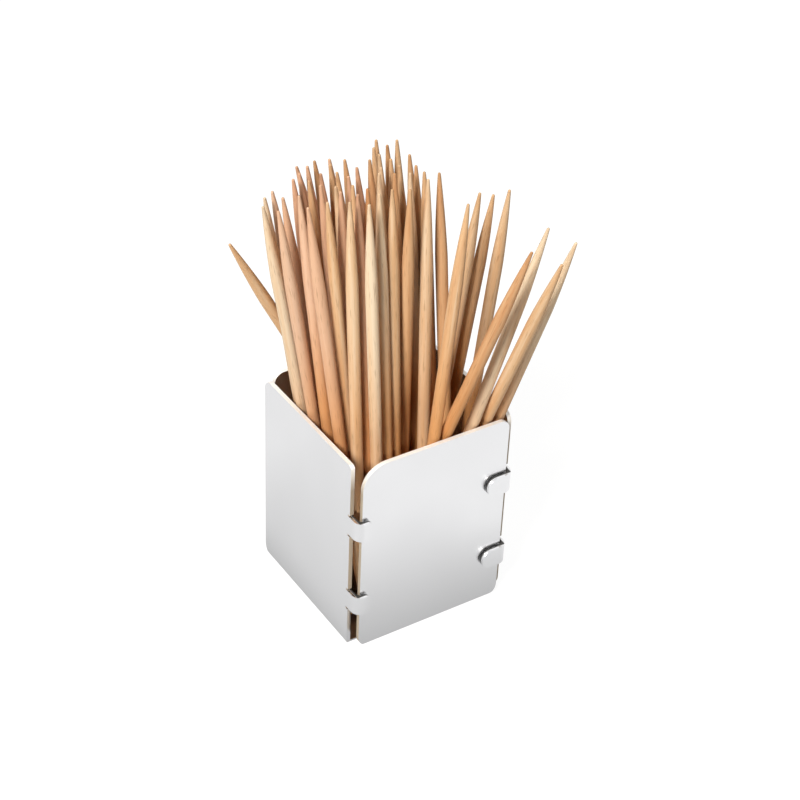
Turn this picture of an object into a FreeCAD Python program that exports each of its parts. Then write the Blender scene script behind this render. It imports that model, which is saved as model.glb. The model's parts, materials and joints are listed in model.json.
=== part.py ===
import FreeCAD, Part

import os

import Sketcher

# Toothpick dispenser: a small square holder folded from one stainless sheet, with toothpicks in it.
# Millimetres, +Z up. The origin is the centre of the holder's underside, the face that it rests on.
# The front wall faces -Y and the back wall +Y, and both are plain. The left wall (-X) and the right
# wall (+X) carry the hooked tabs that lap onto the front wall and keep the box shut.

DRIVING_SIZES = {
    # the folded holder
    "holder_height": 31.0,
    "sheet_thickness": 0.6,
    "picks_across": 14,            # the inside is this many toothpicks wide and deep
    "floor_bend_radius": 0.2,      # inside radius of the bends between the floor and the walls
    "rim_corner_radius": 1.5,      # top corners of the walls, all but the front left corner's two
    "wide_corner_radius": 3.6,     # top left corner of the front wall
    "foot_corner_radius": 2.0,     # bottom corners of each wall, the relief at the blank's corners
    "tight_corner_radius": 0.6,    # but both of the left wall's corners at the front
    # each wall's upright edges, back from the faces of the walls beside it
    "left_front_setback": 1.5,
    "left_back_setback": 0.7,
    "right_setback": 1.0,
    "front_setback": 1.0,
    "back_setback": 1.6,
    # the hooked tabs, at the two front corners
    "tab_height": 3.0,
    "left_tab_reach": 0.75,        # how far the left wall's tabs run on past their bends
    "right_tab_reach": 2.85,       # and the right wall's
    "tab_gap": 0.2,                # between a tab and the wall that it laps onto
    "tab_bend_radius": 0.85,       # inside radius of a tab's bend
    "tab_root": 0.7,               # length of a tab's root inside the side wall's outline
    "left_tab_end_radius": 0.6,    # corners of the left tabs' ends
    "tab_end_flat": 0.1,           # straight bit between the two rounded corners of a right tab's end
    "upper_tab_level": 20.6,
    "lower_tab_level": 7.8,
    "left_tab_rise": 0.5,          # the left wall's tabs stand this much above the right wall's
    "slit_width": 0.3,             # the cut above and below each tab
    "slit_length": 0.45,
    # the toothpicks
    "pick_length": 65.0,
    "pick_diameter": 1.7,
    "taper_length": 12.0,
    "tip_radius": 0.2,             # the domed point at each end
    "taper_bulge": 0.09,           # how far the middle of a taper stands outside a straight cone
    "seat_gap": 0.05,              # between a point and the holder's floor
    # helper for cuts
    "overrun": 2.0,
}

DERIVED_SIZES = {
    "holder_width": "=picks_across * pick_diameter + 2 * sheet_thickness",
    "outer_bend_radius": "=floor_bend_radius + sheet_thickness",
    "outer_tab_bend_radius": "=tab_bend_radius + sheet_thickness",
    "left_tab_lap": "=outer_tab_bend_radius + left_tab_reach",
    "right_tab_lap": "=outer_tab_bend_radius + right_tab_reach",
    "right_tab_end_radius": "=(tab_height - tab_end_flat) / 2",
    "taper_arc_radius": "=((taper_length - tip_radius)^2 + (pick_diameter / 2 - tip_radius)^2)"
                        " / (8 * taper_bulge) + taper_bulge / 2",
}

# Where each toothpick stands and where it points, as seen from above. The first pair is the foot on
# the floor, the second pair is where its axis crosses a level at twice the holder's height. All are
# shares of half the inside width, X then Y, chosen so that the picks fan out and none touches another.
FAN_LEFT_SHARES = [
    (0.84, 0.97, -1.92, 0.49),
    (-0.38, 0.54, -1.45, 0.24),
    (-0.17, 0.64, -1.22, 0.45),
    (-0.43, 0.26, -1.38, 0.04),
    (-0.28, 0.31, -1.21, 0.24),
    (-0.58, -0.18, -1.10, 0.10),
    (-0.53, -0.43, -1.13, -0.14),
    (-0.43, -0.30, -0.92, -0.16),
    (-0.64, -0.59, -0.75, -0.30),
    (-0.45, -0.72, -0.60, -0.44),
]
CLUSTER_LEFT_SHARES = [
    (-0.17, 0.43, -0.95, 0.48),
    (0.01, 0.44, -0.82, 0.57),
    (0.29, 0.47, -0.54, 0.73),
    (0.47, 0.54, -0.38, 0.69),
    (0.40, 0.35, -0.27, 0.56),
    (-0.19, 0.18, -0.84, 0.34),
    (0.03, 0.25, -0.65, 0.42),
    (0.22, 0.21, -0.48, 0.37),
    (-0.22, -0.02, -0.79, 0.19),
    (-0.03, -0.02, -0.66, 0.10),
    (0.27, -0.01, -0.26, 0.33),
    (-0.37, -0.15, -0.71, -0.06),
    (-0.26, -0.33, -0.53, -0.01),
    (-0.44, -0.56, -0.59, -0.20),
    (-0.29, -0.51, -0.44, -0.15),
    (-0.29, -0.69, -0.39, -0.30),
]
CLUSTER_CENTRE_SHARES = [
    (0.63, 0.52, 0.22, 0.73),
    (0.73, 0.38, 0.27, 0.58),
    (0.56, 0.37, 0.11, 0.60),
    (0.87, 0.59, 0.42, 0.63),
    (0.36, 0.12, -0.07, 0.39),
    (0.49, 0.22, 0.08, 0.44),
    (0.39, -0.11, -0.05, 0.19),
    (0.86, 0.15, 0.37, 0.29),
    (0.55, -0.10, 0.14, 0.13),
    (0.09, -0.12, -0.16, 0.07),
    (0.53, -0.29, 0.28, 0.03),
    (0.37, -0.27, 0.13, -0.08),
    (-0.15, -0.59, -0.23, -0.29),
    (0.09, -0.28, -0.07, -0.37),
    (0.17, -0.62, 0.21, -0.29),
    (0.56, -0.66, 0.41, -0.22),
]
FAN_RIGHT_SHARES = [
    (-0.20, -0.92, 0.28, -0.89),
    (0.95, 0.45, 0.76, -0.67),
    (0.91, -0.07, 0.88, -0.78),
    (-0.17, -0.17, 0.57, -1.66),
    (0.23, -0.36, 0.88, -1.47),
    (0.67, 0.08, 0.81, -1.91),
    (0.75, -0.10, 1.08, -1.73),
]
BETWEEN_SHARES = [
    (0.60, 0.69, -0.69, 0.86),
    (0.09, 0.59, -0.68, 0.65),
    (0.15, 0.36, -0.47, 0.53),
    (0.12, 0.04, -0.44, 0.21),
    (-0.38, 0.72, -1.36, 0.37),
    (0.51, 0.06, 0.13, 0.29),
    (0.23, -0.20, -0.02, -0.01),
    (0.51, -0.45, 0.28, -0.13),
    (0.65, 0.24, 0.60, -0.64),
]

LEFT, RIGHT = -1, 1
FRONT = -1

SIDE_NAMES = {LEFT: "left", RIGHT: "right"}
FRONT_SETBACKS = {LEFT: "left_front_setback", RIGHT: "right_setback"}
TAB_LEVELS = {
    LEFT: ("upper_tab_level + Sizes.left_tab_rise", "lower_tab_level + Sizes.left_tab_rise"),
    RIGHT: ("upper_tab_level", "lower_tab_level"),
}

os.makedirs("parts", exist_ok=True)
doc = FreeCAD.newDocument("toothpick_dispenser")


# The sheet of sizes

sizes = doc.addObject("Spreadsheet::Sheet", "Sizes")
row = 0
for name, value in list(DRIVING_SIZES.items()) + list(DERIVED_SIZES.items()):
    row += 1
    sizes.set("A%d" % row, name)
    sizes.set("B%d" % row, str(value))
    sizes.setAlias("B%d" % row, name)
doc.recompute()


def size(name):
    """The value of a named size."""
    return float(sizes.get(name))


def cell(name):
    """The expression that reads a named size."""
    return "Sizes." + name


def half(name, sign=1):
    """The expression for half of a named size, on one side of the middle."""
    return "%d * Sizes.%s / 2" % (sign, name)


def value_of(expression):
    """The number that an expression of the sheet's sizes gives."""
    return float(sizes.evalExpression(expression))


# Sketches: every outline here runs along the two axes, with some corners rounded

def new_sketch(body, name, plane):
    """An empty sketch on one of the body's own origin planes."""
    sketch = body.newObject("Sketcher::SketchObject", name)
    support = next(item for item in body.Origin.OriginFeatures if item.Role == plane)
    sketch.AttachmentSupport = [(support, "")]
    sketch.MapMode = "FlatFace"
    return sketch


def bind(sketch, constraint, expression):
    """Adds a constraint and ties its value to the sheet."""
    index = sketch.addConstraint(constraint)
    sketch.setExpression("Constraints[%d]" % index, expression)


def add_outline(sketch, corners):
    """A closed outline of level and upright lines.

    Each corner is (x, y, radius), written as expressions, with radius None where it stays sharp.
    """
    flat = [(value_of(x), value_of(y), value_of(r) if r else 0.0) for x, y, r in corners]
    count = len(corners)
    lines = []
    for i in range(count):
        (x0, y0, r0), (x1, y1, r1) = flat[i], flat[(i + 1) % count]
        start = FreeCAD.Vector(x0, y0, 0)
        end = FreeCAD.Vector(x1, y1, 0)
        along = (end - start).normalize()
        edge = Part.LineSegment(start + along * r0, end - along * r1)
        lines.append(sketch.addGeometry(edge, False))
        upright = corners[i][0] == corners[(i + 1) % count][0]
        sketch.addConstraint(Sketcher.Constraint("Vertical" if upright else "Horizontal", lines[i]))
        if upright:
            bind(sketch, Sketcher.Constraint("DistanceX", -1, 1, lines[i], 1, x0), corners[i][0])
        else:
            bind(sketch, Sketcher.Constraint("DistanceY", -1, 1, lines[i], 1, y0), corners[i][1])
    for i in range(count):
        before, after = lines[i - 1], lines[i]
        if not corners[i][2]:
            sketch.addConstraint(Sketcher.Constraint("Coincident", before, 2, after, 1))
            continue
        x, y, radius = flat[i]
        corner = FreeCAD.Vector(x, y, 0)
        back = (FreeCAD.Vector(*flat[i - 1][:2], 0) - corner).normalize() * radius
        on = (FreeCAD.Vector(*flat[(i + 1) % count][:2], 0) - corner).normalize() * radius
        centre = corner + back + on
        middle = centre + (corner - centre).normalize() * radius
        arc = sketch.addGeometry(Part.Arc(corner + back, middle, corner + on), False)
        starts_here = (sketch.getPoint(arc, 1) - (corner + back)).Length < radius / 2
        near, far = (1, 2) if starts_here else (2, 1)
        sketch.addConstraint(Sketcher.Constraint("Tangent", before, 2, arc, near))
        sketch.addConstraint(Sketcher.Constraint("Tangent", arc, far, after, 1))
        bind(sketch, Sketcher.Constraint("Radius", arc, radius), corners[i][2])


def add_rectangle(sketch, x0, y0, x1, y1):
    """A sharp rectangle between two opposite corners, written as expressions."""
    add_outline(sketch, [(x0, y0, None), (x1, y0, None), (x1, y1, None), (x0, y1, None)])


def pad(body, sketch, name, length):
    """Pads a sketch by a length, half of it to each side."""
    feature = body.newObject("PartDesign::Pad", name)
    feature.Profile = sketch
    feature.setExpression("Length", length)
    feature.SideType = "Symmetric"
    body.Tip = feature
    return feature


def cut_one_way(body, sketch, name, along_normal):
    """Cuts a sketch through one half of the body, along the sketch's normal or against it."""
    feature = body.newObject("PartDesign::Pocket", name)
    feature.Profile = sketch
    feature.Type = "ThroughAll"
    feature.Reversed = along_normal
    body.Tip = feature
    return feature


# The folded holder

def bend_strip(name, profile_plane):
    """Two opposite walls and the floor between them, bent up from one strip of the blank."""
    body = doc.addObject("PartDesign::Body", name)
    profile = new_sketch(body, name + "_profile", profile_plane)
    left, right = half("holder_width", LEFT), half("holder_width", RIGHT)
    inner_left = left + " + Sizes.sheet_thickness"
    inner_right = right + " - Sizes.sheet_thickness"
    rim, under, floor = cell("holder_height"), "0", cell("sheet_thickness")
    add_outline(profile, [
        (left, rim, None),
        (left, under, cell("outer_bend_radius")),
        (right, under, cell("outer_bend_radius")),
        (right, rim, None),
        (inner_right, rim, None),
        (inner_right, floor, cell("floor_bend_radius")),
        (inner_left, floor, cell("floor_bend_radius")),
        (inner_left, rim, None),
    ])
    pad(body, profile, name + "_bent", cell("holder_width"))
    return body


def trim_wall(body, name, plane, along_normal, near_edge, far_edge):
    """Cuts one wall to its outline.

    Each edge is (setback, top radius, bottom radius), and the near edge is the one at -X or -Y.
    """
    outline = new_sketch(body, name + "_outline", plane)
    near = half("holder_width", -1) + " + Sizes." + near_edge[0]
    far = half("holder_width", 1) + " - Sizes." + far_edge[0]
    rim, under = cell("holder_height"), "0"
    add_outline(outline, [
        (near, rim, cell(near_edge[1])),
        (near, under, cell(near_edge[2])),
        (far, under, cell(far_edge[2])),
        (far, rim, cell(far_edge[1])),
    ])
    add_rectangle(outline,
                  half("holder_width", -1) + " - Sizes.overrun", "-1 * Sizes.overrun",
                  half("holder_width", 1) + " + Sizes.overrun", rim + " + Sizes.overrun")
    cut_one_way(body, outline, name + "_trimmed", along_normal)


def add_slits(body, side):
    """The cuts above and below each tab, into the front edge of one side wall."""
    name = SIDE_NAMES[side] + "_slits"
    sketch = new_sketch(body, name, "YZ_Plane")
    edge = half("holder_width", FRONT) + " + Sizes." + FRONT_SETBACKS[side]
    inner = edge + " + Sizes.slit_length"
    outer = edge + " - Sizes.overrun"
    for level in TAB_LEVELS[side]:
        for direction in (1, -1):
            tab_edge = "%s + %s" % (cell(level), half("tab_height", direction))
            slit_edge = tab_edge + " + %d * Sizes.slit_width" % direction
            add_rectangle(sketch, inner, tab_edge, outer, slit_edge)
    cut_one_way(body, sketch, name + "_cut", side == RIGHT)


def add_tab(body, side, number):
    """One hooked tab, from a side wall round the corner onto the front wall."""
    name = "%s_tab_%d" % (SIDE_NAMES[side], number + 1)
    sketch = new_sketch(body, name + "_hook", "XY_Plane")
    sketch.setExpression("AttachmentOffset.Base.z", cell(TAB_LEVELS[side][number]))
    outer_x = half("holder_width", side)
    inner_x = outer_x + " - %d * Sizes.sheet_thickness" % side
    end_x = outer_x + " - %d * Sizes.%s_tab_lap" % (side, SIDE_NAMES[side])
    face_y = half("holder_width", FRONT)
    root_y = face_y + " + Sizes." + FRONT_SETBACKS[side] + " + Sizes.tab_root"
    inner_y = face_y + " - Sizes.tab_gap"
    outer_y = inner_y + " - Sizes.sheet_thickness"
    add_outline(sketch, [
        (inner_x, root_y, None),
        (inner_x, inner_y, cell("tab_bend_radius")),
        (end_x, inner_y, None),
        (end_x, outer_y, None),
        (outer_x, outer_y, cell("outer_tab_bend_radius")),
        (outer_x, root_y, None),
    ])
    pad(body, sketch, name, cell("tab_height"))


def round_tab_ends(body, side):
    """Rounds the corners of one side wall's tab ends, in the plane of the front wall."""
    doc.recompute()
    end_x = side * (size("holder_width") / 2 - size(SIDE_NAMES[side] + "_tab_lap"))
    front_y = FRONT * size("holder_width") / 2
    thickness = size("sheet_thickness")
    names = []
    for number, edge in enumerate(body.Tip.Shape.Edges, 1):
        box = edge.BoundBox
        at_end = abs(edge.CenterOfMass.x - end_x) < thickness / 2
        outside = edge.CenterOfMass.y < front_y
        crosswise = box.YLength > thickness / 2 and box.ZLength < thickness / 2
        if at_end and outside and crosswise and box.XLength < thickness / 2:
            names.append("Edge%d" % number)
    base = body.Tip
    rounded = body.newObject("PartDesign::Fillet", SIDE_NAMES[side] + "_tab_ends")
    rounded.Base = (base, names)
    rounded.setExpression("Radius", cell(SIDE_NAMES[side] + "_tab_end_radius"))
    body.Tip = rounded


side_strip = bend_strip("side_strip", "XZ_Plane")
trim_wall(side_strip, "left_wall", "YZ_Plane", False,
          ("left_front_setback", "tight_corner_radius", "tight_corner_radius"),
          ("left_back_setback", "rim_corner_radius", "foot_corner_radius"))
trim_wall(side_strip, "right_wall", "YZ_Plane", True,
          ("right_setback", "rim_corner_radius", "foot_corner_radius"),
          ("right_setback", "rim_corner_radius", "foot_corner_radius"))
for side in (LEFT, RIGHT):
    add_slits(side_strip, side)
    for number in range(len(TAB_LEVELS[side])):
        add_tab(side_strip, side, number)
    round_tab_ends(side_strip, side)

front_strip = bend_strip("front_strip", "YZ_Plane")
trim_wall(front_strip, "front_wall", "XZ_Plane", True,
          ("front_setback", "wide_corner_radius", "foot_corner_radius"),
          ("front_setback", "rim_corner_radius", "foot_corner_radius"))
trim_wall(front_strip, "back_wall", "XZ_Plane", False,
          ("back_setback", "rim_corner_radius", "foot_corner_radius"),
          ("back_setback", "rim_corner_radius", "foot_corner_radius"))

holder = doc.addObject("Part::Fuse", "folded_holder")
holder.Label = "folded_holder"
holder.Base = side_strip
holder.Tool = front_strip
holder.Refine = True
doc.recompute()


# The toothpicks

def make_toothpick(name, foot_x_share, foot_y_share, crown_x_share, crown_y_share):
    """One round toothpick, turned about Z from its lower point and then leaned into its place."""
    body = doc.addObject("PartDesign::Body", name)
    body.Label = name
    sketch = new_sketch(body, name + "_profile", "XZ_Plane")
    tip, radius = size("tip_radius"), size("pick_diameter") / 2
    length, taper, arc = size("pick_length"), size("taper_length"), size("taper_arc_radius")
    tip_level, taper_level = FreeCAD.Vector(tip, tip, 0), FreeCAD.Vector(radius, taper, 0)
    lift = FreeCAD.Vector(0, length, 0)

    def mirrored(point):
        """The same point at the upper end."""
        return FreeCAD.Vector(point.x, length - point.y, 0)

    chord = taper_level - tip_level
    outward = FreeCAD.Vector(chord.y, -chord.x, 0).normalize()
    bulged = tip_level + chord / 2 + outward * size("taper_bulge")
    dome = FreeCAD.Vector(0, tip, 0) + FreeCAD.Vector(1, -1, 0).normalize() * tip
    origin = FreeCAD.Vector(0, 0, 0)
    axis_line, low_dome, low_taper, shaft, high_taper, high_dome = sketch.addGeometry([
        Part.LineSegment(origin, lift),
        Part.Arc(origin, dome, tip_level),
        Part.Arc(tip_level, bulged, taper_level),
        Part.LineSegment(taper_level, mirrored(taper_level)),
        Part.Arc(mirrored(taper_level), mirrored(bulged), mirrored(tip_level)),
        Part.Arc(mirrored(tip_level), mirrored(dome), lift),
    ], False)
    sketch.addConstraint([
        Sketcher.Constraint("Coincident", axis_line, 1, -1, 1),
        Sketcher.Constraint("Vertical", axis_line),
        Sketcher.Constraint("Vertical", shaft),
        Sketcher.Constraint("Coincident", low_dome, 1, axis_line, 1),
        Sketcher.Constraint("Coincident", high_dome, 2, axis_line, 2),
        Sketcher.Constraint("PointOnObject", low_dome, 3, -2),
        Sketcher.Constraint("PointOnObject", high_dome, 3, -2),
        Sketcher.Constraint("Coincident", low_taper, 1, low_dome, 2),
        Sketcher.Constraint("Coincident", high_taper, 2, high_dome, 1),
        Sketcher.Constraint("Coincident", shaft, 1, low_taper, 2),
        Sketcher.Constraint("Coincident", shaft, 2, high_taper, 1),
        Sketcher.Constraint("Horizontal", low_dome, 3, low_dome, 2),
        Sketcher.Constraint("Horizontal", high_dome, 3, high_dome, 1),
        Sketcher.Constraint("Equal", low_dome, high_dome),
        Sketcher.Constraint("Equal", low_taper, high_taper),
    ])
    bind(sketch, Sketcher.Constraint("DistanceY", axis_line, 1, axis_line, 2, length),
         cell("pick_length"))
    bind(sketch, Sketcher.Constraint("Radius", low_dome, tip), cell("tip_radius"))
    bind(sketch, Sketcher.Constraint("DistanceX", -1, 1, shaft, 1, radius), half("pick_diameter"))
    bind(sketch, Sketcher.Constraint("DistanceY", -1, 1, shaft, 1, taper), cell("taper_length"))
    bind(sketch, Sketcher.Constraint("DistanceY", shaft, 2, axis_line, 2, taper),
         cell("taper_length"))
    bind(sketch, Sketcher.Constraint("Radius", low_taper, arc), cell("taper_arc_radius"))
    turned = body.newObject("PartDesign::Revolution", name + "_turned")
    turned.Profile = sketch
    turned.ReferenceAxis = (sketch, ["V_Axis"])
    turned.Angle = 360
    body.Tip = turned

    half_inside = size("holder_width") / 2 - size("sheet_thickness")
    floor = size("sheet_thickness") + size("seat_gap")
    foot = FreeCAD.Vector(foot_x_share * half_inside, foot_y_share * half_inside, floor)
    crown = FreeCAD.Vector(crown_x_share * half_inside, crown_y_share * half_inside,
                           2 * size("holder_height"))
    along = (crown - foot).normalize()
    upright = FreeCAD.Vector(0, 0, 1)
    foot.z += tip * (1 - along.z)
    body.Placement = FreeCAD.Placement(foot, FreeCAD.Rotation(upright, along))
    return body


places = (FAN_LEFT_SHARES + CLUSTER_LEFT_SHARES + CLUSTER_CENTRE_SHARES + FAN_RIGHT_SHARES
          + BETWEEN_SHARES)
toothpicks = []
for number, place in enumerate(places, 1):
    toothpicks.append(make_toothpick("toothpick_%02d" % number, *place))
doc.recompute()


# Checks, then the files

for item in doc.Objects:
    if "Invalid" in item.State or "Error" in item.State:
        raise RuntimeError("%s did not build: %s" % (item.Name, item.State))
nodes = [holder] + toothpicks
for node in nodes:
    shape = node.Shape
    if shape.isNull() or not shape.isValid() or len(shape.Solids) != 1:
        raise RuntimeError("%s has no sound solid" % node.Label)
for node in nodes:
    node.Shape.exportStep("parts/%s.step" % node.Label)
print("%d nodes, holder volume %.1f mm3" % (len(nodes), holder.Shape.Volume))
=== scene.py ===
import json
import logging
import math
from dataclasses import dataclass, field
from enum import Enum
from typing import Any, Dict, List, Optional, Sequence, Tuple

import bmesh
import bpy
from mathutils import Matrix, Vector


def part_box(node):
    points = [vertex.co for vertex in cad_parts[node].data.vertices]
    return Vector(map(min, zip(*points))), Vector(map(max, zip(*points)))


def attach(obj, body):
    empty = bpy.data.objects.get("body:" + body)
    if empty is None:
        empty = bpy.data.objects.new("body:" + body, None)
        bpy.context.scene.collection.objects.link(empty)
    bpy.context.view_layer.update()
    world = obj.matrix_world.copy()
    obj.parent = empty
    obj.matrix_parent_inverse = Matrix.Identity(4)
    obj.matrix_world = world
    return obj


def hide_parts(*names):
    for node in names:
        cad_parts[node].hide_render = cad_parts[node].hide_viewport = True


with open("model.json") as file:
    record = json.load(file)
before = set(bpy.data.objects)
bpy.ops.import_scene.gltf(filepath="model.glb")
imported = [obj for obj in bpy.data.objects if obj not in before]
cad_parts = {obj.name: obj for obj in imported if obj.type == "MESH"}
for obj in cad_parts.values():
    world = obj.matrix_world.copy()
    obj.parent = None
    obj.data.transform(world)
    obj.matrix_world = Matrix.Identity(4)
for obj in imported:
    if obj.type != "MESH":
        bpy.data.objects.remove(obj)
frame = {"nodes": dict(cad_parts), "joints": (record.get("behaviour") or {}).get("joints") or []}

# A folded stainless toothpick holder with its toothpicks. Metres, in the frame of the solid model.

log = logging.getLogger("toothpick_dispenser")

MM = 0.001
HOLDER_BODY = "holder"
HOLDER_NODE = "folded_holder"


class Slot(Enum):
    """The record's material slots."""

    SHEET = "stainless_sheet"
    WOOD = "plain_wood"


class Tone(Enum):
    """How dark a toothpick's wood is, from 0 for the palest to 1 for the brownest."""

    CREAM = 0.08
    PALE = 0.28
    TAN = 0.50
    WARM = 0.70
    BROWN = 0.92


def linear(hex_colour: str) -> Tuple[float, float, float, float]:
    """Turns an sRGB hex colour into the linear colour that the shaders take.

    Args:
        hex_colour: the colour as "#RRGGBB".

    Returns:
        Linear red, green, blue and a full alpha.
    """
    parts = [int(hex_colour[i:i + 2], 16) / 255 for i in (1, 3, 5)]
    turned = [c / 12.92 if c <= 0.04045 else ((c + 0.055) / 1.055) ** 2.4 for c in parts]
    return (turned[0], turned[1], turned[2], 1.0)


def add_node(tree: bpy.types.NodeTree, kind: str, settings: Optional[Dict[str, Any]] = None,
             **inputs: Any) -> bpy.types.Node:
    """Adds a node with its settings and links.

    Args:
        tree: the node tree that gets the node.
        kind: the node's type name.
        settings: values for the node's own properties.
        **inputs: a value or an output socket for each input, named "in0", "in1" and so on by place,
            or by the socket's name with "_" for each space.

    Returns:
        The new node.
    """
    node = tree.nodes.new(kind)
    for name, value in (settings or {}).items():
        setattr(node, name, value)
    for name, value in inputs.items():
        if name[:2] == "in" and name[2:].isdigit():
            socket = node.inputs[int(name[2:])]
        else:
            socket = node.inputs[name.replace("_", " ")]
        if isinstance(value, bpy.types.NodeSocket):
            tree.links.new(value, socket)
        else:
            socket.default_value = value
    return node


def math_node(tree: bpy.types.NodeTree, operation: str, *values: Any) -> bpy.types.NodeSocket:
    """Adds a Math node.

    Args:
        tree: the node tree that gets the node.
        operation: the node's operation.
        *values: a number or an output socket for each of its inputs.

    Returns:
        The node's output socket.
    """
    inputs = {"in%d" % i: value for i, value in enumerate(values)}
    return add_node(tree, "ShaderNodeMath", {"operation": operation}, **inputs).outputs[0]


def surface_material(name: str) -> Tuple[bpy.types.Material, bpy.types.NodeTree, bpy.types.Node]:
    """Makes a material with one Principled shader.

    Args:
        name: the material's name.

    Returns:
        The material, its node tree and its Principled shader.
    """
    material = bpy.data.materials.new(name)
    material.use_nodes = True
    tree = material.node_tree
    tree.nodes.clear()
    shader = add_node(tree, "ShaderNodeBsdfPrincipled")
    add_node(tree, "ShaderNodeOutputMaterial", Surface=shader.outputs[0])
    return material, tree, shader


@dataclass(frozen=True)
class SatinStainless:
    """Bright-rolled stainless steel sheet: a soft, nearly white mirror.

    The sheet is never quite flat, so what it mirrors wanders a little across a wall. Its cut edges
    are ground matt and catch the light as pale lines; below the rim they get painted shade, and the
    tabs' top edges get a painted shadow, a dark line where the gap by the wall is.
    """

    colour: str = "#EFEFF0"
    smudged_colour: str = "#EAEAEB"
    ground_colour: str = "#F4F0E9"
    # painted shade on the cut edges below the rim
    tinted_colour: str = "#A99A86"
    # painted shadow along the tabs' top edges
    tab_gap_shadow_colour: str = "#3A3937"
    roughness_low: float = 0.22
    roughness_high: float = 0.27
    edge_roughness: float = 0.55
    ground_metal: float = 0.25
    smudge_mm: float = 9.0
    smudge_range: Tuple[float, float] = (0.35, 0.7)
    wander_mm: float = 12.0
    wander_depth_mm: float = 0.02
    # rolling marks are finer than this on real sheet and are drawn coarse enough to show
    rolling_mm: float = 0.16
    rolling_depth_mm: float = 0.0005
    rolling_length_share: float = 0.02
    # painted shadow: a tab's top edge is darkened from this far inside the sheet's middle
    tab_gap_shadow_mm: float = 0.12
    # the middle of a tab's sheet where it leaves the side wall, and where it lies on the front wall
    side_mm: float = 12.2
    front_mm: float = 13.0
    # painted shade on the cut edges fades out between these two heights, just under the rim
    tint_top_mm: float = 27.0
    bright_from_mm: float = 30.5

    def make(self) -> bpy.types.Material:
        """Builds the material. The mesh's attributes mark its ground edges and the tab edges that get a
        painted shadow.
        """
        material, tree, shader = surface_material("bright_stainless_sheet")
        place = add_node(tree, "ShaderNodeTexCoord").outputs["Object"]
        ground = add_node(tree, "ShaderNodeAttribute", {"attribute_name": "ground"}).outputs["Fac"]
        tab_gap_shadow = add_node(tree, "ShaderNodeAttribute", {"attribute_name": "tab_gap_shadow"}).outputs["Fac"]
        # painted shadow: the edge's inner part is darkened, and the part by the outer face stays bright
        spot = add_node(tree, "ShaderNodeSeparateXYZ", in0=place).outputs
        side = math_node(tree, "SUBTRACT", math_node(tree, "ABSOLUTE", spot[0]), self.side_mm * MM)
        front = math_node(tree, "SUBTRACT", math_node(tree, "MULTIPLY", spot[1], -1.0),
                          self.front_mm * MM)
        inner = add_node(tree, "ShaderNodeMapRange", Value=math_node(tree, "MAXIMUM", side, front),
                         From_Min=-self.tab_gap_shadow_mm * MM, From_Max=0.0, To_Min=1.0,
                         To_Max=0.0).outputs[0]
        tab_gap_shadow = math_node(tree, "MULTIPLY", tab_gap_shadow, inner)
        edges = math_node(tree, "MAXIMUM", ground, tab_gap_shadow)
        smudge = add_node(tree, "ShaderNodeTexNoise", Vector=place, Scale=1 / (self.smudge_mm * MM),
                          Detail=2.0, Roughness=0.5)
        level = add_node(tree, "ShaderNodeMapRange", Value=smudge.outputs["Fac"],
                         From_Min=self.smudge_range[0], From_Max=self.smudge_range[1],
                         To_Min=self.roughness_low, To_Max=self.roughness_high)
        dulled = add_node(tree, "ShaderNodeMix", {"data_type": "FLOAT"}, in0=edges,
                          in2=level.outputs[0], in3=self.edge_roughness)
        metal = add_node(tree, "ShaderNodeMix", {"data_type": "FLOAT"}, in0=edges,
                         in2=1.0, in3=self.ground_metal)
        tint = add_node(tree, "ShaderNodeMix", {"data_type": "RGBA"}, in0=smudge.outputs["Fac"],
                        in6=linear(self.colour), in7=linear(self.smudged_colour))
        # the rim's edge is ground bright, and the edges further down get painted shade
        height = add_node(tree, "ShaderNodeMapRange", Value=spot[2], From_Min=self.tint_top_mm * MM,
                          From_Max=self.bright_from_mm * MM, To_Min=0.0, To_Max=1.0).outputs[0]
        shaded_edge_colour = add_node(tree, "ShaderNodeMix", {"data_type": "RGBA"}, in0=height,
                            in6=linear(self.tinted_colour), in7=linear(self.ground_colour))
        paled = add_node(tree, "ShaderNodeMix", {"data_type": "RGBA"}, in0=ground,
                         in6=tint.outputs[2], in7=shaded_edge_colour.outputs[2])
        edged = add_node(tree, "ShaderNodeMix", {"data_type": "RGBA"}, in0=tab_gap_shadow,
                         in6=paled.outputs[2], in7=linear(self.tab_gap_shadow_colour))
        stretched = add_node(tree, "ShaderNodeMapping", Vector=place,
                             Scale=(1.0, 1.0, self.rolling_length_share))
        rolling = add_node(tree, "ShaderNodeTexNoise", Vector=stretched.outputs[0],
                           Scale=1 / (self.rolling_mm * MM), Detail=2.0)
        wander = add_node(tree, "ShaderNodeTexNoise", Vector=place,
                          Scale=1 / (self.wander_mm * MM), Detail=1.0)
        fine = add_node(tree, "ShaderNodeBump", Height=rolling.outputs["Fac"],
                        Distance=self.rolling_depth_mm * MM)
        wide = add_node(tree, "ShaderNodeBump", Height=wander.outputs["Fac"],
                        Distance=self.wander_depth_mm * MM, Normal=fine.outputs[0])
        tree.links.new(edged.outputs[2], shader.inputs["Base Color"])
        tree.links.new(dulled.outputs[0], shader.inputs["Roughness"])
        tree.links.new(wide.outputs[0], shader.inputs["Normal"])
        tree.links.new(metal.outputs[0], shader.inputs["Metallic"])
        return material


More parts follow.
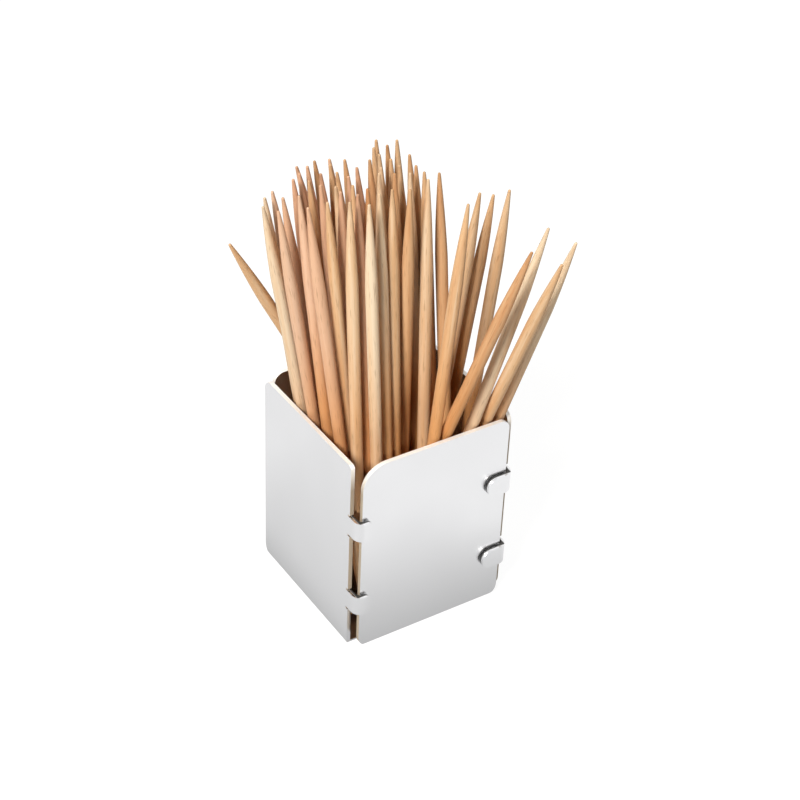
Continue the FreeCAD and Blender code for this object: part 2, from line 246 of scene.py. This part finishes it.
@dataclass(frozen=True)
class BirchWood:
    """Unfinished turned birch: dry, pale, with grain that runs the length of the toothpick.

    The eye sees long soft streaks, faint short pores between them and a dull, slightly furry surface.
    The lower part is warmer and darker as painted shade, where the toothpicks go into the holder.
    """

    palest: str = "#E9D5B6"
    middle: str = "#D5AD80"
    brownest: str = "#BC804C"
    pink: str = "#DFB196"
    stain: str = "#C88038"
    pore: str = "#7E5630"
    point: str = "#85603E"
    streak_mm: float = 0.55
    streak_length_share: float = 0.03
    pore_mm: float = 0.16           # real pores are finer, and are drawn coarse enough to show
    pore_length_share: float = 0.07
    fibre_mm: float = 0.09
    fibre_depth_mm: float = 0.02
    streak_strength: float = 0.9
    pore_range: Tuple[float, float] = (0.60, 0.74)
    pore_strength: float = 0.35
    roughness: float = 0.62
    specular: float = 0.2

    def make(self) -> bpy.types.Material:
        """Builds the material. It follows each toothpick by the attributes that its mesh carries."""
        material, tree, shader = surface_material("plain_birch")
        place = add_node(tree, "ShaderNodeAttribute", {"attribute_name": "grain_place"})

        def carried(name: str) -> bpy.types.NodeSocket:
            """Reads one of the shares that the mesh carries."""
            return add_node(tree, "ShaderNodeAttribute", {"attribute_name": name}).outputs["Fac"]

        def blend(share: Any, low: Any, high: Any) -> bpy.types.NodeSocket:
            """Goes from one colour to another by a share."""
            mixed = add_node(tree, "ShaderNodeMix", {"data_type": "RGBA"}, in0=share, in6=low, in7=high)
            return mixed.outputs[2]

        def stretched(width_mm: float, share: float, detail: float) -> bpy.types.NodeSocket:
            """Noise drawn out along the toothpick.

            Args:
                width_mm: the size of a mark across the grain.
                share: the noise's scale along the grain, as a share of that across it.
                detail: the noise's detail.

            Returns:
                The noise's value.
            """
            drawn = add_node(tree, "ShaderNodeMapping", Vector=place.outputs["Vector"],
                             Scale=(1.0, 1.0, share))
            noise = add_node(tree, "ShaderNodeTexNoise", Vector=drawn.outputs[0],
                             Scale=1 / (width_mm * MM), Detail=detail)
            return noise.outputs["Fac"]

        streaks = stretched(self.streak_mm, self.streak_length_share, 3.0)
        pores = stretched(self.pore_mm, self.pore_length_share, 1.0)
        fibres = stretched(self.fibre_mm, self.streak_length_share, 2.0)

        shade = math_node(tree, "MULTIPLY_ADD", math_node(tree, "SUBTRACT", streaks, 0.5),
                          self.streak_strength, carried("tone"))
        ramp = add_node(tree, "ShaderNodeValToRGB", in0=shade)
        ramp.color_ramp.elements[0].color = linear(self.palest)
        ramp.color_ramp.elements[1].color = linear(self.brownest)
        ramp.color_ramp.elements.new(0.5).color = linear(self.middle)
        pore_mask = add_node(tree, "ShaderNodeMapRange", Value=pores, From_Min=self.pore_range[0],
                             From_Max=self.pore_range[1], To_Min=0.0, To_Max=self.pore_strength)
        rosy_and_shade = blend(carried("rosiness"), ramp.outputs[0], linear(self.pink))
        # painted shade: the lower part goes warmer and darker
        low_shaded = blend(carried("stain_share"), rosy_and_shade, linear(self.stain))
        pored = blend(pore_mask.outputs[0], low_shaded, linear(self.pore))
        pointed = blend(carried("point_share"), pored, linear(self.point))
        bump = add_node(tree, "ShaderNodeBump", Height=fibres, Distance=self.fibre_depth_mm * MM)
        tree.links.new(pointed, shader.inputs["Base Color"])
        tree.links.new(bump.outputs[0], shader.inputs["Normal"])
        shader.inputs["Roughness"].default_value = self.roughness
        shader.inputs["Specular IOR Level"].default_value = self.specular
        return material


def finished(obj: bpy.types.Object, name: str, body: str) -> bpy.types.Object:
    """Turns an object's modifiers into a plain mesh and hangs it on its body.

    Args:
        obj: the object with its modifiers live.
        name: the finished piece's name.
        body: the body that it moves with.

    Returns:
        The finished piece.
    """
    view = bpy.context.evaluated_depsgraph_get()
    mesh = bpy.data.meshes.new_from_object(obj.evaluated_get(view), preserve_all_data_layers=True,
                                           depsgraph=view)
    mesh.name = name
    piece = bpy.data.objects.new(name, mesh)
    bpy.context.scene.collection.objects.link(piece)
    bpy.data.objects.remove(obj, do_unlink=True)
    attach(piece, body)
    log.info("%s: %d faces on body %s", name, len(mesh.polygons), body)
    return piece


@dataclass
class FoldedHolder:
    """The box folded from one sheet, with its cut edges eased as a deburred edge is."""

    edge_ease_mm: float = 0.07
    ease_steps: int = 3
    flat_degrees: float = 0.4
    sharp_degrees: float = 35.0
    merge_mm: float = 0.001
    # a cut edge's middle lies halfway through the sheet of its wall, or of a tab
    wall_middle_mm: float = 12.2
    tab_middle_mm: float = 13.0
    halfway_slack_mm: float = 0.12
    floor_top_mm: float = 1.0
    # where the tabs are, whose top edges get a painted shadow
    tab_levels_mm: Sequence[float] = (8.05, 20.85)
    tab_half_mm: float = 2.0
    tab_root_mm: float = -10.4
    # how far a face's normal leans when it counts as level, as upright, and as facing down
    level_normal: float = 0.98
    floor_normal: float = 0.5
    upright_normal: float = 0.05
    down_normal: float = -0.8
    finish: SatinStainless = field(default_factory=SatinStainless)

    def build(self) -> bpy.types.Object:
        """Makes the holder from its solid's own faces and dresses it.

        Returns:
            The finished piece.
        """
        mesh = frame["nodes"][HOLDER_NODE].data.copy()
        mesh.materials.clear()
        mesh.materials.append(self.finish.make())
        self.join_flats(mesh)
        obj = bpy.data.objects.new("holder_blank", mesh)
        bpy.context.scene.collection.objects.link(obj)
        ease = obj.modifiers.new("eased_edges", "BEVEL")
        ease.width = self.edge_ease_mm * MM
        ease.segments = self.ease_steps
        ease.limit_method = "ANGLE"
        ease.angle_limit = math.radians(self.sharp_degrees)
        ease.miter_outer = "MITER_ARC"
        level = obj.modifiers.new("flat_walls", "WEIGHTED_NORMAL")
        level.keep_sharp = False
        level.weight = 100
        piece = finished(obj, "folded_sheet", HOLDER_BODY)
        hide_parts(HOLDER_NODE)
        return piece

    def is_cut(self, face: bmesh.types.BMFace) -> bool:
        """Tells whether a face is one of the sheet's cut edges.

        Args:
            face: the face.

        Returns:
            True where it lies halfway through the sheet and faces along it.
        """
        middle = face.calc_center_median() / MM
        if middle.z < self.floor_top_mm and abs(face.normal.z) > self.floor_normal:
            return False
        if abs(face.normal.z) > self.level_normal:
            return True
        side = abs(abs(middle.x) - self.wall_middle_mm) < self.halfway_slack_mm
        front = abs(abs(middle.y) - self.wall_middle_mm) < self.halfway_slack_mm
        tab = abs(middle.y + self.tab_middle_mm) < self.halfway_slack_mm
        return (side and abs(face.normal.x) < self.upright_normal) or (
            (front or tab) and abs(face.normal.y) < self.upright_normal)

    def join_flats(self, mesh: bpy.types.Mesh) -> None:
        """Merges the loose triangles and joins those that lie in one plane.

        Args:
            mesh: the mesh to change.
        """
        work = bmesh.new()
        work.from_mesh(mesh)
        bmesh.ops.remove_doubles(work, verts=work.verts[:], dist=self.merge_mm * MM)
        bmesh.ops.dissolve_limit(work, angle_limit=math.radians(self.flat_degrees),
                                 verts=work.verts[:], edges=work.edges[:])
        ground = work.faces.layers.float.new("ground")
        tab_gap_shadow = work.faces.layers.float.new("tab_gap_shadow")
        for face in work.faces:
            face.smooth = True
            middle = face.calc_center_median() / MM
            near_tab = middle.y < self.tab_root_mm and min(
                abs(middle.z - level) for level in self.tab_levels_mm) < self.tab_half_mm
            on_tab = middle.y < -self.wall_middle_mm - self.halfway_slack_mm
            flat_top = face.normal.z > self.level_normal
            cut = self.is_cut(face)
            shows = flat_top or (on_tab and face.normal.z > self.down_normal)
            # the tabs' top edges that show get a painted shadow, the shade of the gap by the wall
            dark = cut and near_tab and shows
            face[tab_gap_shadow] = float(dark)
            face[ground] = float(cut and not dark)
        work.to_mesh(mesh)
        work.free()


@dataclass
class Toothpicks:
    """All the toothpicks: one tree makes each of them, with its own grain, tone, darker point and
    painted shade on its lower part.

    What differs from one to the next follows a sine of its number, so that every run gives the same.
    """

    length_mm: float = 65.0
    diameter_mm: float = 1.7
    tip_radius_mm: float = 0.2
    taper_mm: float = 12.0
    bulge_mm: float = 0.09
    relief_mm: float = 0.035
    sides: int = 28
    rings: int = 96
    end_crowding: float = 0.98
    furrow_length_mm: float = 16.0
    furrow_scale: float = 1.9
    seed_steps: Tuple[float, float, float] = (0.031, 0.017, 0.113)
    point_fade_mm: Tuple[float, float] = (0.1, 2.2)
    stain_fade_mm: float = 16.0
    merge_mm: float = 0.001
    tone_spread: float = 0.05
    point_shade: float = 0.25
    # a middle value and how far the toothpicks stray from it, for the painted shade on the lower part
    stain: Tuple[float, float] = (0.55, 0.2)
    stain_top_mm: Tuple[float, float] = (31.0, 3.0)
    # of the plain ones and of the pinkish ones
    rosiness: Tuple[float, float] = (0.1, 0.6)
    finish: BirchWood = field(default_factory=BirchWood)
    # the tones follow the photographed toothpicks where they show, in the order of their numbers, and
    # those deep at the back get darker tones as painted shade
    tones_and_shade: Sequence[Tone] = (
        Tone.TAN, Tone.CREAM, Tone.PALE, Tone.PALE, Tone.TAN, Tone.PALE, Tone.TAN, Tone.TAN,
        Tone.PALE, Tone.CREAM,
        Tone.BROWN, Tone.WARM, Tone.WARM, Tone.TAN, Tone.TAN, Tone.WARM, Tone.BROWN, Tone.TAN,
        Tone.WARM, Tone.PALE, Tone.BROWN, Tone.WARM, Tone.TAN, Tone.BROWN, Tone.BROWN, Tone.PALE,
        Tone.TAN, Tone.WARM, Tone.TAN, Tone.TAN, Tone.WARM, Tone.TAN, Tone.PALE, Tone.WARM,
        Tone.TAN, Tone.PALE, Tone.WARM, Tone.PALE, Tone.TAN, Tone.WARM, Tone.PALE, Tone.WARM,
        Tone.TAN, Tone.TAN, Tone.TAN, Tone.WARM, Tone.CREAM, Tone.TAN, Tone.CREAM,
        Tone.WARM, Tone.WARM, Tone.TAN, Tone.WARM, Tone.CREAM, Tone.TAN, Tone.WARM, Tone.TAN,
        Tone.TAN,
    )
    # the pinkish ones stand at the left, and those at the back are pinkish as painted shade
    rosy_and_shade: Sequence[int] = (3, 4, 5, 6, 7, 11, 12, 14, 17, 19, 21, 22, 24, 50, 51, 53)

    def make_tree(self) -> bpy.types.NodeTree:
        """Builds the geometry tree that turns one toothpick, standing on the origin.

        Returns:
            The node group.
        """
        tree = bpy.data.node_groups.new("turned_toothpick", "GeometryNodeTree")
        inputs = (("Length", "Float"), ("Radius", "Float"), ("Tip Radius", "Float"),
                  ("Taper", "Float"), ("Bulge", "Float"), ("Relief", "Float"),
                  ("Sides", "Int"), ("Rings", "Int"), ("Crowding", "Float"), ("Tone", "Float"),
                  ("Rosiness", "Float"), ("Stain", "Float"), ("Stain Top", "Float"),
                  ("Point Shade", "Float"), ("Seed", "Float"), ("Finish", "Material"))
        for name, kind in inputs:
            tree.interface.new_socket(name, in_out="INPUT", socket_type="NodeSocket" + kind)
        tree.interface.new_socket("Geometry", in_out="OUTPUT", socket_type="NodeSocketGeometry")
        given = tree.nodes.new("NodeGroupInput").outputs

        def calc(operation: str, *values: Any) -> bpy.types.NodeSocket:
            """One step of arithmetic in this tree."""
            return math_node(tree, operation, *values)

        columns = calc("ADD", given["Sides"], 1.0)
        grid = add_node(tree, "GeometryNodeMeshGrid", Size_X=1.0, Size_Y=1.0, Vertices_X=columns,
                        Vertices_Y=given["Rings"])
        spot = add_node(tree, "ShaderNodeSeparateXYZ",
                        in0=add_node(tree, "GeometryNodeInputPosition").outputs[0])
        angle = calc("MULTIPLY", calc("ADD", spot.outputs[0], 0.5), math.tau)
        share = calc("ADD", spot.outputs[1], 0.5)
        # the rings crowd towards the two points, where the shape changes fastest
        swing = calc("DIVIDE", calc("SINE", calc("MULTIPLY", share, math.tau)), math.tau)
        even = calc("SUBTRACT", share, calc("MULTIPLY", swing, given["Crowding"]))
        level = calc("MULTIPLY", even, given["Length"])
        reach = calc("MINIMUM", level, calc("SUBTRACT", given["Length"], level))
        tip = given["Tip Radius"]
        short = calc("MAXIMUM", calc("SUBTRACT", tip, reach), 0.0)
        squared = calc("SUBTRACT", calc("MULTIPLY", tip, tip), calc("MULTIPLY", short, short))
        dome = calc("SQRT", calc("MAXIMUM", squared, 0.0))
        along = calc("DIVIDE", calc("SUBTRACT", reach, tip), calc("SUBTRACT", given["Taper"], tip))
        taper = calc("MINIMUM", calc("MAXIMUM", along, 0.0), 1.0)
        straight = calc("MULTIPLY", taper, calc("SUBTRACT", given["Radius"], tip))
        fall = calc("MULTIPLY", taper, calc("SUBTRACT", 1.0, taper))
        bulge = calc("MULTIPLY", calc("MULTIPLY", fall, 4.0), given["Bulge"])
        radius = calc("ADD", dome, calc("ADD", straight, bulge))
        # the turned surface is slightly furrowed along the grain, always inwards
        cosine, sine = calc("COSINE", angle), calc("SINE", angle)
        furrow_place = add_node(tree, "ShaderNodeCombineXYZ",
                                in0=calc("ADD", cosine, given["Seed"]), in1=sine,
                                in2=calc("MULTIPLY", level, 1 / (self.furrow_length_mm * MM)))
        furrows = add_node(tree, "ShaderNodeTexNoise", Vector=furrow_place.outputs[0],
                           Scale=self.furrow_scale, Detail=3.0)
        depth = calc("MULTIPLY", calc("MULTIPLY", furrows.outputs[0], given["Relief"]),
                     calc("DIVIDE", radius, given["Radius"]))
        turned = calc("SUBTRACT", radius, depth)
        place = add_node(tree, "ShaderNodeCombineXYZ", in0=calc("MULTIPLY", turned, cosine),
                         in1=calc("MULTIPLY", turned, sine), in2=level)
        moved = add_node(tree, "GeometryNodeSetPosition", Geometry=grid.outputs[0],
                         Position=place.outputs[0])
        closed = add_node(tree, "GeometryNodeMergeByDistance", Geometry=moved.outputs[0],
                          Distance=self.merge_mm * MM)
        shaded = add_node(tree, "GeometryNodeSetShadeSmooth", in0=closed.outputs[0])
        steps = (calc("MULTIPLY", given["Seed"], step) for step in self.seed_steps)
        seeded = add_node(tree, "ShaderNodeCombineXYZ", **dict(zip(("in0", "in1", "in2"), steps)))
        spot_after = add_node(tree, "GeometryNodeInputPosition").outputs[0]
        grain = add_node(tree, "ShaderNodeVectorMath", {"operation": "ADD"}, in0=spot_after,
                         in1=seeded.outputs[0]).outputs[0]
        risen = add_node(tree, "ShaderNodeSeparateXYZ", in0=spot_after).outputs[2]
        from_end = calc("MINIMUM", risen, calc("SUBTRACT", given["Length"], risen))
        fade = add_node(tree, "ShaderNodeMapRange", Value=from_end,
                        From_Min=self.point_fade_mm[0] * MM, From_Max=self.point_fade_mm[1] * MM,
                        To_Min=1.0, To_Max=0.0).outputs[0]
        # painted shade on the lower part, fading out above the holder's rim
        low_shade_end = calc("ADD", given["Stain Top"], self.stain_fade_mm * MM)
        stain = add_node(tree, "ShaderNodeMapRange", Value=risen, From_Min=given["Stain Top"],
                         From_Max=low_shade_end, To_Min=given["Stain"], To_Max=0.0).outputs[0]
        shape = shaded.outputs[0]
        stored = (("grain_place", "FLOAT_VECTOR", grain), ("tone", "FLOAT", given["Tone"]),
                  ("rosiness", "FLOAT", given["Rosiness"]), ("stain_share", "FLOAT", stain),
                  ("point_share", "FLOAT", calc("MULTIPLY", fade, given["Point Shade"])))
        for name, kind, value in stored:
            keep = add_node(tree, "GeometryNodeStoreNamedAttribute",
                            {"data_type": kind, "domain": "POINT"}, Geometry=shape, Name=name,
                            Value=value)
            shape = keep.outputs[0]
        real = add_node(tree, "GeometryNodeRealizeInstances", in0=shape)
        dressed = add_node(tree, "GeometryNodeSetMaterial", Geometry=real.outputs[0],
                           Material=given["Finish"])
        add_node(tree, "NodeGroupOutput", in0=dressed.outputs[0])
        return tree

    def lean(self, node: str, axis: Sequence[float]) -> Matrix:
        """Works out where a toothpick stands.

        Args:
            node: the toothpick's node, whose box is centred on the toothpick's middle.
            axis: the direction that it points in.

        Returns:
            The move from a toothpick standing on the origin to its place.
        """
        low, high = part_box(node)
        middle = (Vector(low) + Vector(high)) / 2
        along = Vector(axis).normalized()
        turn = Vector((0, 0, 1)).rotation_difference(along).to_matrix().to_4x4()
        foot = middle - along * self.length_mm * MM / 2
        return Matrix.Translation(foot) @ turn

    def build(self) -> List[bpy.types.Object]:
        """Makes and dresses every toothpick.

        Returns:
            The finished pieces.
        """
        tree = self.make_tree()
        wood = self.finish.make()
        identifiers = {item.name: item.identifier for item in tree.interface.items_tree
                       if item.in_out == "INPUT"}
        pieces = []
        for number, joint in enumerate(frame["joints"]):
            body = joint["child"]
            obj = bpy.data.objects.new("toothpick_blank", bpy.data.meshes.new("toothpick_blank"))
            bpy.context.scene.collection.objects.link(obj)
            maker = obj.modifiers.new("turned", "NODES")
            maker.node_group = tree
            tone = self.tones_and_shade[number % len(self.tones_and_shade)].value
            values = {
                "Length": self.length_mm * MM, "Radius": self.diameter_mm * MM / 2,
                "Tip Radius": self.tip_radius_mm * MM, "Taper": self.taper_mm * MM,
                "Bulge": self.bulge_mm * MM, "Relief": self.relief_mm * MM,
                "Sides": self.sides, "Rings": self.rings, "Crowding": self.end_crowding,
                "Tone": tone + self.tone_spread * math.sin(number * 2.4),
                "Rosiness": self.rosiness[number + 1 in self.rosy_and_shade],
                "Stain": self.stain[0] + self.stain[1] * math.sin(number * 5.3),
                "Stain Top": (self.stain_top_mm[0]
                              + self.stain_top_mm[1] * math.sin(number * 4.1)) * MM,
                "Point Shade": self.point_shade * math.sin(number * 1.7),
                "Seed": float(number + 1), "Finish": wood,
            }
            for name, value in values.items():
                maker[identifiers[name]] = value
            piece = finished(obj, "wooden_" + body, body)
            piece.data.transform(self.lean(body, joint["axis"]))
            piece.data.update()
            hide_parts(body)
            pieces.append(piece)
        return pieces


@dataclass(frozen=True)
class SoftLamp:
    """A square soft lamp: where it hangs and the length of its side, in metres, and its watts."""

    name: str
    place: Tuple[float, float, float]
    size: float
    watts: float


@dataclass
class Studio:
    """The pale floor, the soft light and the camera at the photograph's angle."""

    # the camera: angles in degrees, and the photograph's width and focal length in its own pixels
    photo_pixels: float = 800.0
    focal_pixels: float = 1940.3
    sensor_mm: float = 36.0
    azimuth: float = -33.877
    elevation: float = 35.724
    roll: float = 2.609
    distance_mm: float = 272.3
    shift_right_mm: float = -2.19
    shift_up_mm: float = -12.06
    aim_height_mm: float = 15.5
    floor_span: float = 4.0
    floor_colour: str = "#D2D2D1"
    lamp_colour: str = "#FFFDFA"
    holder_half_mm: float = 12.5
    # what the steel mirrors of the floor is a painted glow, dimmed close to the holder as a painted
    # shadow
    dim_reach_mm: float = 22.0
    dim_reach_right_mm: float = 15.0
    # how wide the change is from the left wall's painted shade to the front wall's, and where the right
    # begins
    corner_mm: float = 4.0
    dim_right_from_mm: float = 8.0
    dim_right_to_mm: float = 20.0
    dim_front: Tuple[float, float] = (0.58, 1.03)
    dim_left: Tuple[float, float] = (0.73, 0.95)
    paper_share: float = 0.78
    paper_glow: float = 1.2
    room_light: float = 0.05
    # the narrow lamp: its place and aim in metres, its cone in degrees
    slot_place: Tuple[float, float, float] = (-0.197, -0.298, 0.226)
    slot_aim: Tuple[float, float, float] = (-0.012, -0.012, 0.016)
    slot_cone: float = 4.4
    slot_watts: float = 3.0
    slot_blend: float = 0.6
    slot_size: float = 0.01
    floor_roughness: float = 0.9
    floor_specular: float = 0.1
    lamps: Sequence[SoftLamp] = (
        SoftLamp("key", (-0.90, -0.50, 0.95), 0.35, 23.0),
        SoftLamp("fill", (0.4, -0.9, 0.5), 0.6, 0.6),
        SoftLamp("top", (0.05, 0.15, 0.9), 0.6, 2.6),
    )
    lamp_aim_m: float = 0.03

    def camera(self) -> bpy.types.Object:
        """Stands the camera where the photograph was taken from."""
        azimuth, elevation, roll = (math.radians(a) for a in
                                    (self.azimuth, self.elevation, self.roll))
        back = Vector((math.sin(azimuth) * math.cos(elevation),
                       -math.cos(azimuth) * math.cos(elevation), math.sin(elevation)))
        right = Vector((math.cos(azimuth), math.sin(azimuth), 0))
        up = back.cross(right)
        rolled_right = right * math.cos(roll) + up * math.sin(roll)
        rolled_up = up * math.cos(roll) - right * math.sin(roll)
        place = (Vector((0, 0, self.aim_height_mm)) - rolled_right * self.shift_right_mm
                 - rolled_up * self.shift_up_mm + back * self.distance_mm) * MM
        data = bpy.data.cameras.new("camera")
        data.sensor_width = self.sensor_mm
        data.lens = self.focal_pixels * self.sensor_mm / self.photo_pixels
        data.clip_start = 0.01
        camera = bpy.data.objects.new("camera", data)
        camera.matrix_world = Matrix.Translation(place) @ Matrix(
            (rolled_right, rolled_up, back)).transposed().to_4x4()
        bpy.context.scene.collection.objects.link(camera)
        bpy.context.scene.camera = camera
        return camera

    def floor(self) -> bpy.types.Object:
        """Lays the pale floor, which keeps the object's shadow. The steel mirrors a painted glow of it
        instead, with a painted shadow near the holder.
        """
        half = self.floor_span / 2
        mesh = bpy.data.meshes.new("floor")
        mesh.from_pydata([(-half, -half, 0), (half, -half, 0), (half, half, 0), (-half, half, 0)],
                         [], [(0, 1, 2, 3)])
        material, tree, shader = surface_material("pale_floor")
        shader.inputs["Base Color"].default_value = linear(self.floor_colour)
        shader.inputs["Roughness"].default_value = self.floor_roughness
        shader.inputs["Specular IOR Level"].default_value = self.floor_specular
        place = add_node(tree, "ShaderNodeTexCoord").outputs["Object"]
        spot = add_node(tree, "ShaderNodeSeparateXYZ", in0=place).outputs
        out_x, out_y = math_node(tree, "ABSOLUTE", spot[0]), math_node(tree, "ABSOLUTE", spot[1])
        away = math_node(tree, "SUBTRACT", math_node(tree, "MAXIMUM", out_x, out_y),
                         self.holder_half_mm * MM)
        close, far = (add_node(
            tree, "ShaderNodeMapRange", Value=spot[0],
            From_Min=-(self.holder_half_mm + self.corner_mm) * MM,
            From_Max=-self.holder_half_mm * MM, To_Min=left, To_Max=front).outputs[0]
            for left, front in zip(self.dim_left, self.dim_front))
        reach = add_node(tree, "ShaderNodeMapRange", Value=spot[0],
                         From_Min=self.dim_right_from_mm * MM, From_Max=self.dim_right_to_mm * MM,
                         To_Min=self.dim_reach_mm * MM,
                         To_Max=self.dim_reach_right_mm * MM).outputs[0]
        painted_mirror_glow = add_node(tree, "ShaderNodeMapRange", Value=away, From_Min=0.0, From_Max=reach,
                          To_Min=close, To_Max=far).outputs[0]
        path = add_node(tree, "ShaderNodeLightPath").outputs
        paper = add_node(tree, "ShaderNodeEmission", Color=(1, 1, 1, 1), Strength=self.paper_glow)
        # painted reflection: the steel sees the floor as a glow, dimmed near the holder as a painted
        # shadow
        mirrored = add_node(tree, "ShaderNodeEmission", Color=(1, 1, 1, 1), Strength=painted_mirror_glow)
        lit = math_node(tree, "MULTIPLY", path["Is Camera Ray"], self.paper_share)
        seen = add_node(tree, "ShaderNodeMixShader", in0=lit, in1=shader.outputs[0],
                        in2=paper.outputs[0])
        direct = math_node(tree, "LESS_THAN", path["Diffuse Depth"], 0.5)
        glossy = math_node(tree, "MULTIPLY", path["Is Glossy Ray"], direct)
        both = add_node(tree, "ShaderNodeMixShader", in0=glossy, in1=seen.outputs[0],
                        in2=mirrored.outputs[0])
        output = next(node for node in tree.nodes if node.type == "OUTPUT_MATERIAL")
        tree.links.new(both.outputs[0], output.inputs["Surface"])
        mesh.materials.append(material)
        floor = bpy.data.objects.new("floor", mesh)
        bpy.context.scene.collection.objects.link(floor)
        return floor

    def hang(self, data: bpy.types.Light, place: Sequence[float], target: Sequence[float],
             watts: float) -> None:
        """Hangs a lamp and turns it to what it lights.

        Args:
            data: the lamp's data.
            place: where it hangs, in metres.
            target: the spot that it faces, in metres.
            watts: its power.
        """
        data.energy = watts
        data.color = linear(self.lamp_colour)[:3]
        lamp = bpy.data.objects.new(data.name, data)
        lamp.location = place
        aim = Vector(place) - Vector(target)
        lamp.rotation_euler = aim.to_track_quat("Z", "Y").to_euler()
        bpy.context.scene.collection.objects.link(lamp)

    def lights(self) -> None:
        """Hangs the soft lamps, and a narrow one that lets the wood show through the slot."""
        for lamp in self.lamps:
            data = bpy.data.lights.new(lamp.name, "AREA")
            data.size = lamp.size
            self.hang(data, lamp.place, (0, 0, self.lamp_aim_m), lamp.watts)
        slot = bpy.data.lights.new("slot", "SPOT")
        slot.spot_size = math.radians(self.slot_cone)
        slot.spot_blend = self.slot_blend
        slot.shadow_soft_size = self.slot_size
        self.hang(slot, self.slot_place, self.slot_aim, self.slot_watts)

    def world(self) -> None:
        """Fills the room with even light, white to the eye and in what the steel mirrors."""
        world = bpy.data.worlds.new("white_room")
        world.use_nodes = True
        tree = world.node_tree
        tree.nodes.clear()
        path = add_node(tree, "ShaderNodeLightPath").outputs
        mirrored = math_node(tree, "MAXIMUM", path["Is Glossy Ray"], path["Is Transmission Ray"])
        direct = math_node(tree, "LESS_THAN", path["Diffuse Depth"], 0.5)
        seen = math_node(tree, "MAXIMUM", path["Is Camera Ray"],
                         math_node(tree, "MULTIPLY", mirrored, direct))
        light = add_node(tree, "ShaderNodeBackground", Color=(1, 1, 1, 1), Strength=self.room_light)
        white = add_node(tree, "ShaderNodeBackground", Color=(1, 1, 1, 1), Strength=1.0)
        mixed = add_node(tree, "ShaderNodeMixShader", in0=seen, in1=light.outputs[0],
                         in2=white.outputs[0])
        add_node(tree, "ShaderNodeOutputWorld", Surface=mixed.outputs[0])
        bpy.context.scene.world = world

    def build(self) -> None:
        """Sets up the whole studio."""
        self.camera()
        self.floor()
        self.world()
        self.lights()
        bpy.context.scene.view_settings.view_transform = "Standard"


def main() -> None:
    """Builds the studio, the holder and the toothpicks."""
    logging.basicConfig(level=logging.INFO, format="%(name)s: %(message)s")
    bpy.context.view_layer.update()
    Studio().build()
    FoldedHolder().build()
    pieces = Toothpicks().build()
    log.info("%d toothpicks", len(pieces))


if __name__ == "__main__":
    main()
